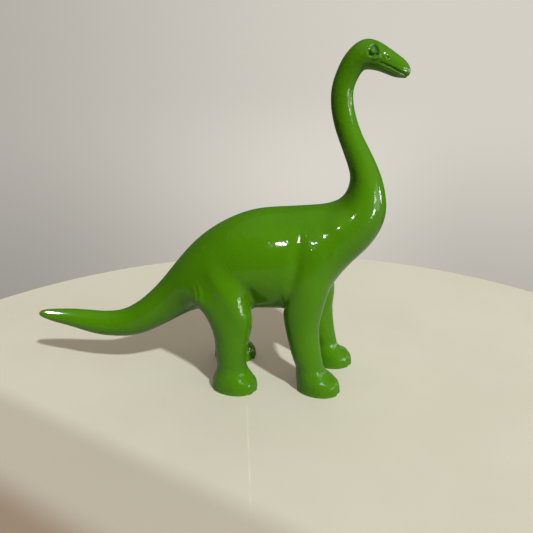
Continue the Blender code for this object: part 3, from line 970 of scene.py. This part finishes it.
@dataclass(frozen=True)
class Lacquer:
    """Gloss lacquer over moulded plastic: a softly mottled green with a light orange peel.

    Shade is painted into the folds, which are also duller, and the lacquer is rubbed paler just above the
    soles.
    An edge is where a pattern starts and where it is full, and a share is how much of what is under it it
    hides.
    """

    name: str
    colour: Colour = (0.079, 0.240, 0.001, 1)
    deep: Colour = (0.068, 0.215, 0.001, 1)
    # Painted shade in the folds of the dark reliefs.
    fold: Colour = (0.030, 0.105, 0.001, 1)
    rubbed: Colour = (0.105, 0.265, 0.010, 1)
    roughness: float = 0.09
    rubbed_roughness: float = 0.30
    fold_roughness: float = 0.5
    specular: float = 0.30
    ior: float = 1.5
    flow: Grain = Grain(38.0)
    flow_edge: Edge = (0.38, 0.66)
    flow_share: float = 0.75
    mottle: Grain = Grain(420.0, 3.0, 0.6)
    mottle_share: float = 0.12
    rubbing: Grain = Grain(900.0, 3.0, 0.7)
    rubbed_edge: Edge = (0.45, 0.62)
    rubbed_height: Edge = (0.5, 3.0)
    rubbed_share: float = 0.7
    fold_shade_edge: Edge = (0.25, 1.0)
    fold_shade_share: float = 0.85
    peel: Grain = Grain(700.0, 1.0)
    peel_edge: Edge = (0.47, 0.60)
    peel_least: float = 0.25
    peel_strength: float = 0.8
    peel_depth: float = 0.28 * MM

    def material(self) -> bpy.types.Material:
        """Lay out the finish.

        Returns:
            The finish as a material.
        """
        board = Board(bpy.data.materials.new(self.name))
        flow = board.noise(self.flow)
        mottle = board.noise(self.mottle)
        height, = board.parts(board.place(), "Z")
        rubbed = (1 - (height / MM).ramp(*self.rubbed_height)) \
            * board.noise(self.rubbing).ramp(*self.rubbed_edge)
        # Painted shade: the lacquer is darkened in the grooves of the dark reliefs, where shade falls.
        fold_shade_mask = board.attribute("fold").ramp(*self.fold_shade_edge)
        colour = board.mix(flow.ramp(*self.flow_edge) * self.flow_share + mottle * self.mottle_share,
                           self.colour, self.deep)
        colour = board.mix(fold_shade_mask * self.fold_shade_share, colour, self.fold)
        colour = board.mix(rubbed * self.rubbed_share, colour, self.rubbed)
        roughness = self.roughness + rubbed * self.rubbed_roughness + fold_shade_mask * self.fold_roughness
        patches = self.peel_least + flow.ramp(*self.peel_edge) * (1 - self.peel_least)
        peel = board.noise(self.peel) * patches
        return board.dressed({"Base Color": colour, "Roughness": roughness, "IOR": self.ior,
                              "Normal": board.bump(self.peel_strength, self.peel_depth, peel),
                              "Specular IOR Level": self.specular})


@dataclass(frozen=True)
class SolePlastic:
    """Bare satin plastic under the feet, scuffed where it stands."""

    name: str
    colour: Colour = (0.070, 0.200, 0.010, 1)
    worn: Colour = (0.130, 0.250, 0.060, 1)
    roughness: float = 0.46
    scuff_roughness: float = 0.22
    scuffs: Grain = Grain(240.0, 5.0, 0.75)
    scuff_edge: Edge = (0.50, 0.66)
    scuff_share: float = 0.6
    grain: Grain = Grain(1600.0, 4.0, 0.7)
    grain_share: float = 0.15
    grain_strength: float = 0.25
    grain_depth: float = 0.1 * MM

    def material(self) -> bpy.types.Material:
        """Lay out the finish.

        Returns:
            The finish as a material.
        """
        board = Board(bpy.data.materials.new(self.name))
        grain = board.noise(self.grain)
        scuffs = board.noise(self.scuffs).ramp(*self.scuff_edge)
        colour = board.mix(scuffs * self.scuff_share + grain * self.grain_share, self.colour, self.worn)
        return board.dressed({"Base Color": colour, "Roughness": self.roughness + scuffs * self.scuff_roughness,
                              "Normal": board.bump(self.grain_strength, self.grain_depth, grain)})


@dataclass(frozen=True)
class Moulding:
    """One glued piece of the figure, set apart from the skin by its glue faces."""

    name: str
    node: str
    slot: str
    cuts: tuple[Cut, ...]

    def cut_from(self, skin: Skin) -> bpy.types.Object:
        """Cut the piece from a copy of the skin.

        Args:
            skin: The carved skin.

        Returns:
            A closed mesh whose flat ends are its glue faces.
        """
        item = add_item(self.name, skin.item.data.copy())
        item.data.name = self.name
        with Bench(item):
            for cut in self.cuts:
                bpy.ops.mesh.select_all(action='SELECT')
                bpy.ops.mesh.bisect(plane_co=cut.place, plane_no=cut.way, use_fill=True, clear_outer=True,
                                    threshold=TOUCH / 100)
        return item

    def finish(self, item: bpy.types.Object, material: bpy.types.Material) -> None:
        """Smooth the piece, give it its material and let it stand for its CAD node.

        Args:
            item: The piece as it was cut.
            material: Its finish.
        """
        pick(item)
        bpy.ops.object.shade_smooth_by_angle(angle=SMOOTH_ANGLE)
        item.data.materials.clear()
        item.data.materials.append(material)
        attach(item, BODY)
        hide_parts(self.node)
        log.info("%s: %d points, stands for %s", item.name, len(item.data.vertices), self.node)


@dataclass
class Figure:
    """The whole toy: its plan, its finishes and the mouldings that are glued into it."""

    plan: Plan = field(default_factory=Plan)
    body: Lacquer = Lacquer("body_lacquer")
    sole: SolePlastic = SolePlastic("sole_plastic")
    ripple: Ripple = Ripple(0.032, 2.4, 6.0)
    sole_clearance: float = 0.3 * MM
    pocket_points: int = 96

    def reliefs(self) -> list[Relief]:
        """Return everything that is carved into the skin."""
        return [Foot(leg) for leg in self.plan.legs] + list(FACE) + list(FOLDS) + [self.ripple]

    def mouldings(self) -> list[Moulding]:
        """Share the skin out among the figure's mouldings.

        Returns:
            The shells, the head and the legs, with their glue faces.
        """
        plan = self.plan
        found = []
        floor = Cut(Vector(), -UP)
        legs_off = Cut(UP * plan.legs[0].joint_height, -UP)
        for side in Side:
            half = Cut(Vector(), Vector((0, -side.value, 0)))
            word = side.name.lower()
            for part, cuts in (("torso", (plan.neck_joint, plan.tail_joint, legs_off, half)),
                               ("neck", (plan.neck_joint.turned(), plan.head_joint, half)),
                               ("tail", (plan.tail_joint.turned(), plan.leg_line, half))):
                found.append(Moulding(f"{part}_skin_{word}", f"{part}_shell_{word}", "body_lacquer", cuts))
        found.append(Moulding("head_skin", "head", "head_lacquer", (plan.head_joint.turned(),)))
        for leg in plan.legs:
            half = Cut(Vector(), Vector((0, -leg.side.value, 0)))
            ends = (plan.between_legs, plan.leg_line.turned()) if leg.pair is Pair.HIND \
                else (plan.between_legs.turned(),)
            found.append(Moulding(f"leg_skin_{leg.name}", f"leg_{leg.name}", "leg_lacquer",
                                  (legs_off.turned(), half, floor, *ends)))
        return found

    def sink_pocket(self, item: bpy.types.Object, leg: Leg) -> None:
        """Sink the pocket that takes a sole cap into the bottom of a leg.

        Args:
            item: The leg's moulding.
            leg: Which leg it is.
        """
        low, high = (Vector(corner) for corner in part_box("sole_" + leg.name))
        size = high - low + Vector((2, 2, 2)) * self.sole_clearance
        bpy.ops.object.select_all(action='DESELECT')
        bpy.ops.mesh.primitive_cylinder_add(vertices=self.pocket_points, radius=0.5, depth=1,
                                            location=(low + high) / 2, scale=size)
        plug = bpy.context.active_object
        bpy.ops.object.transform_apply()
        taken = item.modifiers.new("Pocket", 'BOOLEAN')
        taken.operation = 'DIFFERENCE'
        taken.solver = 'EXACT'
        taken.object = plug
        apply_modifiers(item)
        bpy.data.objects.remove(plug, do_unlink=True)

    def build(self) -> None:
        """Carve the skin, cut the mouldings from it and dress them and the sole caps."""
        skin = Skin(self.plan, self.reliefs())
        skin.build()
        lacquer = self.body.material()
        legs = {f"leg_{leg.name}": leg for leg in self.plan.legs}
        for moulding in self.mouldings():
            item = moulding.cut_from(skin)
            if moulding.node in legs:
                self.sink_pocket(item, legs[moulding.node])
            moulding.finish(item, lacquer)
        bpy.data.objects.remove(skin.item, do_unlink=True)
        satin = self.sole.material()
        for leg in self.plan.legs:
            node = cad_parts["sole_" + leg.name]
            node.data.materials.clear()
            node.data.materials.append(satin)
            log.info("%s: kept from the CAD model, in satin plastic", node.name)


FACE = (
    # Eyeball
    Ball((93.9, 194.0), 1.25, 1.65, 0.95),
    # Groove round the eye
    Stroke(((92.2, 194.8, 0.1), (92.8, 195.7, 0.2), (93.8, 196.1, 0.7), (94.9, 195.9, 1.0),
            (95.7, 195.0, 1.0), (96.1, 193.7, 1.0), (96.0, 192.5, 1.0), (95.1, 192.1, 0.9),
            (94.0, 191.8, 1.0), (92.9, 192.1, 1.0), (92.1, 192.9, 0.8), (92.0, 193.9, 0.3),
            (92.2, 194.8, 0.1)), 0.50, -0.78, 2.0, paints_fold_shade=True),
    # Front corner of the eye
    Stroke(((96.0, 192.5, 1.0), (96.9, 191.8, 0.5)), 0.34, -0.45, 2.0, paints_fold_shade=True),
    # Upper lid
    Stroke(((93.8, 197.4, 0.1), (94.9, 197.3, 1.0), (96.1, 196.6, 1.0), (97.0, 195.3, 0.9),
            (97.5, 193.8, 0.7), (97.8, 192.6, 0.2)), 0.42, 0.70, 2.0),
    # Lower lid
    Stroke(((93.6, 190.3, 0.1), (95.0, 190.3, 0.8), (96.4, 190.6, 1.0), (97.5, 191.1, 1.0),
            (98.2, 191.8, 0.2)), 0.42, 0.66, 2.0),
    # Nostril
    Stroke(((101.7, 190.7, 1.0), (102.0, 190.3, 1.0)), 0.34, -0.45, 1.5, paints_fold_shade=True),
    # Rim of the nostril
    Stroke(((100.9, 191.9, 0.7), (101.7, 191.6, 1.0), (102.5, 191.0, 0.5)), 0.42, 0.28, 1.5),
    # Mouth
    Stroke(((97.4, 188.4, 0.1), (98.6, 188.1, 0.7), (99.9, 187.8, 1.0), (101.4, 187.0, 1.0),
            (102.7, 186.4, 1.0), (104.0, 185.9, 1.0), (106.3, 184.6, 1.0), (109.8, 182.8, 0.7),
            (112.2, 181.5, 0.4), (114.8, 180.2, 0.1)), 0.32, -0.54, paints_fold_shade=True),
    # Lower lip
    Stroke(((97.0, 187.3, 0.1), (98.9, 186.8, 0.8), (100.7, 186.0, 1.0), (102.8, 185.1, 1.0),
            (104.9, 184.3, 1.0), (108.1, 182.9, 1.0), (112.0, 180.9, 0.8), (115.0, 179.3, 0.4)), 0.48, 0.38),
    # Edge of the jaw
    Stroke(((95.5, 185.9, 0.1), (98.9, 185.2, 0.8), (102.8, 183.5, 1.0), (106.5, 181.9, 0.9),
            (109.5, 180.7, 0.3)), 0.55, -0.35, 1.0),
    # Upper lip
    Stroke(((99.5, 189.2, 0.1), (102.5, 187.8, 0.8), (106.3, 185.9, 0.9), (110.5, 183.9, 0.9),
            (114.0, 182.3, 0.6)), 0.60, 0.22),
)
FOLDS = (
    # Chin
    Swell((112.0, 0.0, 178.0), (3.0, 4.5, 2.2), 1.0),
    # Crown
    Swell((93.0, 0.0, 201.0), (8.0, 6.0, 3.0), 0.7),
    # Belly
    Swell((46.0, 26.0, 72.0), (13.0, 14.0, 16.0), 0.6),
    # Flank
    Swell((46.0, 25.0, 95.0), (10.0, 10.0, 10.0), 0.5),
    # Shoulder
    Swell((68.0, 24.0, 91.0), (4.5, 9.0, 8.0), 0.9),
    # Root of the neck
    Swell((78.5, 18.0, 104.0), (5.0, 8.0, 5.5), 1.4),
    # Top of the front leg
    Swell((66.0, 27.0, 66.0), (6.0, 6.0, 16.0), 1.6),
    # Hollow before the thigh
    Swell((29.0, 24.0, 62.0), (4.5, 7.0, 6.0), -1.1),
    # Knee
    Swell((27.0, 25.0, 47.5), (5.0, 6.5, 5.0), 1.0),
    # Root of the tail
    Swell((-3.0, 16.0, 57.0), (5.0, 10.0, 5.0), 1.8),
    # Thigh
    Stroke(((3.0, 84.0, 0.1), (9.0, 75.0, 0.7), (15.0, 66.0, 1.0), (21.0, 58.0, 1.0), (25.0, 51.0, 1.0),
            (26.0, 44.0, 0.5), (25.0, 38.0, 0.1)), 3.6, 1.5, 12.0),
    # Front edge of the thigh
    Stroke(((17.0, 82.0, 0.1), (23.0, 73.0, 0.8), (29.0, 65.0, 1.0), (32.5, 58.0, 1.0), (33.0, 52.0, 0.5)),
           2.6, -0.9, 12.0),
    # Hollow between the belly and the front leg
    Stroke(((58.0, 101.0, 0.1), (57.6, 96.0, 0.4), (57.2, 89.0, 0.7), (56.5, 82.0, 0.95), (54.5, 74.0, 1.0),
            (52.5, 66.0, 1.0), (50.0, 60.0, 1.0), (48.0, 56.0, 0.6)), 2.5, -1.6, 12.0),
    # Crease at the foot of that hollow
    Stroke(((53.0, 66.0, 0.1), (50.8, 61.5, 0.8), (49.2, 58.0, 1.0), (48.0, 55.0, 1.0),
            (47.5, 52.0, 0.6)), 0.8, -0.5, 10.0),
    # Crease of the breast
    Stroke(((78.8, 93.5, 0.3), (76.4, 90.0, 1.0), (74.4, 85.8, 0.4)), 0.9, 0.65, 14.0),
    # Front fold at the tail
    Stroke(((-0.8, 69.0, 0.2), (0.8, 66.0, 1.0), (1.3, 62.0, 1.0), (1.2, 58.0, 0.3)), 0.8, 0.50, 9.0),
    # Rear fold at the tail
    Stroke(((-3.8, 67.5, 0.2), (-2.3, 64.5, 1.0), (-1.8, 60.5, 1.0), (-2.0, 57.0, 0.3)), 0.8, 0.50, 9.0),
    # Crease of the hock
    Stroke(((34.0, 35.5, 0.6), (29.0, 33.8, 1.0), (24.0, 33.4, 0.2)), 1.0, -0.4, 10.0),
)


@dataclass(frozen=True)
class Table:
    """The pale painted round top that the figure stands on, with a shadow painted across one corner of it.

    The scratch and the painted shadow are placed in millimetres from the figure's middle. An edge is where
    something starts and where it is full.
    """

    radius: float = 0.300
    centre: tuple[float, float] = (0.042, -0.072)
    thickness: float = 0.02
    points: int = 160
    rim: float = 2.0 * MM
    rim_steps: int = 4
    colour: Colour = (0.668, 0.622, 0.512, 1)
    worn: Colour = (0.627, 0.576, 0.466, 1)
    # Painted shadow across one corner, and its darker part nearer the edge.
    painted_shadow: Colour = (0.508, 0.453, 0.368, 1)
    painted_deep_shadow: Colour = (0.300, 0.215, 0.155, 1)
    scratch: Colour = (0.760, 0.690, 0.570, 1)
    mark: Colour = (0.420, 0.375, 0.310, 1)
    haze: Colour = (0.070, 0.053, 0.041, 1)
    thrown: Colour = (0.36, 0.33, 0.26, 1)
    mirrored: Colour = (0.48, 0.45, 0.37, 1)
    black: Colour = (0.0, 0.0, 0.0, 1)
    roughness: float = 0.62
    worn_roughness: float = 0.1
    blotches: Grain = Grain(9.0, 3.0, 0.6)
    worn_edge: Edge = (0.35, 0.7)
    worn_share: float = 0.6
    marks: Grain = Grain(150.0, 4.0, 0.8)
    mark_edge: Edge = (0.66, 0.72)
    mark_patches: Grain = Grain(14.0, 1.0)
    mark_patch_edge: Edge = (0.45, 0.60)
    mark_share: float = 0.7
    scratch_slope: float = 0.170
    scratch_place: float = 22.0
    scratch_side: Edge = (0.05, 0.45)
    scratch_far: Edge = (-44.0, -34.0)
    scratch_near: Edge = (-140.0, -110.0)
    scratch_gaps: Grain = Grain(90.0)
    scratch_gap_edge: Edge = (0.30, 0.60)
    scratch_share: float = 0.8
    painted_shadow_way: tuple[float, float] = (0.436, 0.900)
    painted_shadow_edge: Edge = (-99.0, -82.0)
    painted_deep_shadow_edge: Edge = (-151.0, -128.0)

    def build(self) -> None:
        """Build the top."""
        bpy.ops.object.select_all(action='DESELECT')
        bpy.ops.mesh.primitive_cylinder_add(vertices=self.points, radius=self.radius, depth=self.thickness,
                                            location=(*self.centre, -self.thickness / 2))
        top = bpy.context.active_object
        top.name = "table_top"
        bpy.ops.object.transform_apply()
        rim = top.modifiers.new("Rim", 'BEVEL')
        rim.width = self.rim
        rim.segments = self.rim_steps
        apply_modifiers(top)
        bpy.ops.object.shade_smooth_by_angle(angle=SMOOTH_ANGLE)
        top.data.materials.append(self.material())

    def material(self) -> bpy.types.Material:
        """Lay out the matt off-white paint, with its blotches, marks, scratch and painted shadow.

        Returns:
            The paint as a material.
        """
        board = Board(bpy.data.materials.new("table_paint"))
        x, y = (part / MM for part in board.parts(board.place(), "XY"))
        blotch = board.noise(self.blotches).ramp(*self.worn_edge)
        colour = board.mix(blotch * self.worn_share, self.colour, self.worn)
        marks = board.noise(self.marks).ramp(*self.mark_edge) \
            * board.noise(self.mark_patches).ramp(*self.mark_patch_edge)
        colour = board.mix(marks * self.mark_share, colour, self.mark)
        across = x + y * self.scratch_slope - self.scratch_place
        line = (1 - (across * across).ramp(*self.scratch_side)) * (1 - y.ramp(*self.scratch_far)) \
            * y.ramp(*self.scratch_near) * board.noise(self.scratch_gaps).ramp(*self.scratch_gap_edge)
        colour = board.mix(line * self.scratch_share, colour, self.scratch)
        # Painted shadow: soft bands of darker colour across one corner stand in for the shadow of something off
        # the table.
        far = x * self.painted_shadow_way[0] + y * self.painted_shadow_way[1]
        colour = board.mix(1 - far.ramp(*self.painted_shadow_edge), colour, self.painted_shadow)
        colour = board.mix(1 - far.ramp(*self.painted_deep_shadow_edge), colour, self.painted_deep_shadow)
        seen = board.ray("Camera")
        colour = board.mix(seen, board.mix(board.ray("Glossy"), self.thrown, self.mirrored), colour)
        return board.dressed({"Base Color": colour, "Specular IOR Level": 0.0, "Emission Strength": 1.0,
                              "Roughness": self.roughness + blotch * self.worn_roughness,
                              "Emission Color": board.mix(seen, self.black, self.haze)})


def way_to(azimuth: float, elevation: float) -> Vector:
    """Return the way to a place that is so many degrees to the right and so many up."""
    turn, rise = math.radians(azimuth), math.radians(elevation)
    return Vector((math.sin(turn) * math.cos(rise), -math.cos(turn) * math.cos(rise), math.sin(rise)))


def facing(azimuth: float, elevation: float) -> Place:
    """Return how a lamp is turned that shines back along that way."""
    return math.radians(90 - elevation), 0, math.radians(azimuth)


@dataclass(frozen=True)
class Lamp:
    """The far lamp that lights the figure: where it stands, how wide it looks, its strength and its colour."""

    name: str
    azimuth: float
    elevation: float
    width: float
    strength: float
    colour: tuple[float, float, float] = (1.0, 1.0, 1.0)

    def build(self) -> None:
        """Hang the lamp."""
        data = bpy.data.lights.new(self.name, 'SUN')
        data.energy = self.strength
        data.angle = math.radians(self.width)
        data.color = self.colour
        add_item(self.name, data).rotation_euler = facing(self.azimuth, self.elevation)


@dataclass(frozen=True)
class Window:
    """A bright panel near the figure, which shows only in the gloss."""

    name: str
    azimuth: float
    elevation: float
    width: float
    height: float
    glow: float
    distance: float = 1.5
    target: Place = (0.045, -0.028, 0.095)
    spread: float = 180.0

    def build(self) -> None:
        """Stand the panel up, facing its target."""
        data = bpy.data.lights.new(self.name, 'AREA')
        data.shape = 'RECTANGLE'
        data.size, data.size_y = self.width, self.height
        data.energy = self.glow * math.pi * self.width * self.height
        data.spread = math.radians(self.spread)
        item = add_item(self.name, data)
        item.location = Vector(self.target) + way_to(self.azimuth, self.elevation) * self.distance
        item.rotation_euler = facing(self.azimuth, self.elevation)
        item.visible_camera = False
        item.visible_diffuse = False


@dataclass(frozen=True)
class Room:
    """The room round the table: what the camera sees of it, what lights the figure and what its gloss shows.

    X, Y and Z are those of the way that is looked along. An edge is where something starts and where it is
    full.
    """

    wall_left: Colour = (0.360, 0.344, 0.315, 1)
    wall_right: Colour = (0.652, 0.624, 0.560, 1)
    wall_edge: Edge = (-0.906, 0.162)
    wall_drop: float = 0.273
    drop_edge: Edge = (-0.412, -0.092)
    wall_glow: float = 0.237
    glow_left: Edge = (-0.499, -0.070)
    glow_right: Edge = (-0.051, 0.239)
    glow_top: Edge = (-0.261, -0.046)
    dim_side: Colour = (0.03, 0.028, 0.025, 1)
    bright_side: Colour = (0.78, 0.72, 0.64, 1)
    bright_way: tuple[float, float] = (0.74, 0.67)
    bright_edge: Edge = (0.2, 1.0)
    behind: Colour = (0.85, 0.80, 0.74, 1)
    behind_edge: Edge = (0.40, 0.80)
    ceiling: Colour = (0.32, 0.30, 0.27, 1)
    ceiling_edge: Edge = (0.40, 0.85)
    below: Colour = (0.05, 0.045, 0.04, 1)
    below_edge: Edge = (-0.30, -0.02)
    gloss_dark: Colour = (0.07, 0.068, 0.06, 1)
    gloss_right: Colour = (0.34, 0.33, 0.30, 1)
    gloss_right_edge: Edge = (0.40, 0.75)
    gloss_wall: Colour = (0.09, 0.13, 0.05, 1)
    gloss_wall_edge: Edge = (0.35, 0.75)
    gloss_ceiling: Colour = (0.26, 0.25, 0.23, 1)
    gloss_ceiling_edge: Edge = (0.74, 0.82)

    def build(self) -> None:
        """Paint the room."""
        board = Board(bpy.data.worlds.new("room"))
        x, y, z = board.parts(board.node('ShaderNodeTexCoord', output="Generated"), "XYZ")
        wall = board.mix(x.ramp(*self.wall_edge), self.wall_left, self.wall_right)
        glow = x.ramp(*self.glow_left) * (1 - x.ramp(*self.glow_right)) * (1 - z.ramp(*self.glow_top))
        shade = (1 - (1 - z.ramp(*self.drop_edge)) * self.wall_drop) * (1 + glow * self.wall_glow)
        seen = board.node('ShaderNodeVectorMath', {"operation": 'SCALE'}, {0: wall, "Scale": shade})
        bright = x * self.bright_way[0] - y * self.bright_way[1]
        lit = board.mix(bright.ramp(*self.bright_edge), self.dim_side, self.bright_side)
        lit = board.mix(y.ramp(*self.behind_edge), lit, self.behind)
        lit = board.mix(z.ramp(*self.ceiling_edge), lit, self.ceiling)
        lit = board.mix(z.ramp(*self.below_edge), self.below, lit)
        gloss = board.mix(x.ramp(*self.gloss_right_edge), self.gloss_dark, self.gloss_right)
        gloss = board.mix(y.ramp(*self.gloss_wall_edge), gloss, self.gloss_wall)
        gloss = board.mix(z.ramp(*self.gloss_ceiling_edge), gloss, self.gloss_ceiling)
        colour = board.mix(board.ray("Camera"), board.mix(board.ray("Glossy"), lit, gloss), seen)
        bpy.context.scene.world = board.surface('ShaderNodeOutputWorld', board.node(
            'ShaderNodeBackground', None, {"Color": colour, "Strength": 1.0}))


@dataclass(frozen=True)
class Studio:
    """Everything round the figure: the table, the lamps, the pale room and the camera."""

    table: Table = Table()
    room: Room = Room()
    lamps: tuple[Union[Lamp, Window], ...] = (
        Lamp("key_lamp", 38.0, 46.0, 3.0, 2.6, (0.9, 1.0, 1.0)),
        Window("front_lamp", -5.0, 39.0, 0.07, 0.07, 260.0, 0.9),
        Window("tail_lamp", -66.0, 49.0, 0.014, 0.02, 60.0, 0.12, (-0.104, -0.003, 0.038), 16.0),
        Window("side_window", 106.0, 2.5, 0.14, 0.22, 25.0),
        Window("porch_window", 72.0, 11.0, 0.22, 0.12, 18.0),
        Window("knee_window", 66.0, -4.0, 0.30, 0.24, 25.0),
        Window("bright_wall", 80.0, 4.0, 0.90, 0.50, 2.4),
    )
    camera_place: Place = (76.8 * MM, -325.7 * MM, 195.4 * MM)
    azimuth: float = 7.0
    pitch: float = 20.5
    roll: float = -1.0
    lens: float = 39.17
    sensor: float = 36.0

    def build(self) -> None:
        """Set the stage."""
        self.table.build()
        for lamp in self.lamps:
            lamp.build()
        self.room.build()
        self._camera()
        bpy.context.scene.view_settings.view_transform = 'Standard'

    def _camera(self) -> None:
        """Stand the camera where the photograph was taken."""
        back = way_to(self.azimuth, self.pitch)
        right = (-back).cross(UP).normalized()
        above = right.cross(-back)
        roll = math.radians(self.roll)
        right, above = (right * math.cos(roll) + above * math.sin(roll),
                        above * math.cos(roll) - right * math.sin(roll))
        data = bpy.data.cameras.new("photo_camera")
        data.lens = self.lens
        data.sensor_width = self.sensor
        camera = add_item("photo_camera", data)
        turned = Matrix((right, above, back)).transposed().to_4x4()
        camera.matrix_world = Matrix.Translation(self.camera_place) @ turned
        bpy.context.scene.camera = camera


def main() -> None:
    """Build the figure and the studio round it."""
    logging.basicConfig(level=logging.INFO, format="%(name)s: %(message)s")
    Figure().build()
    Studio().build()


if __name__ == "__main__":
    main()
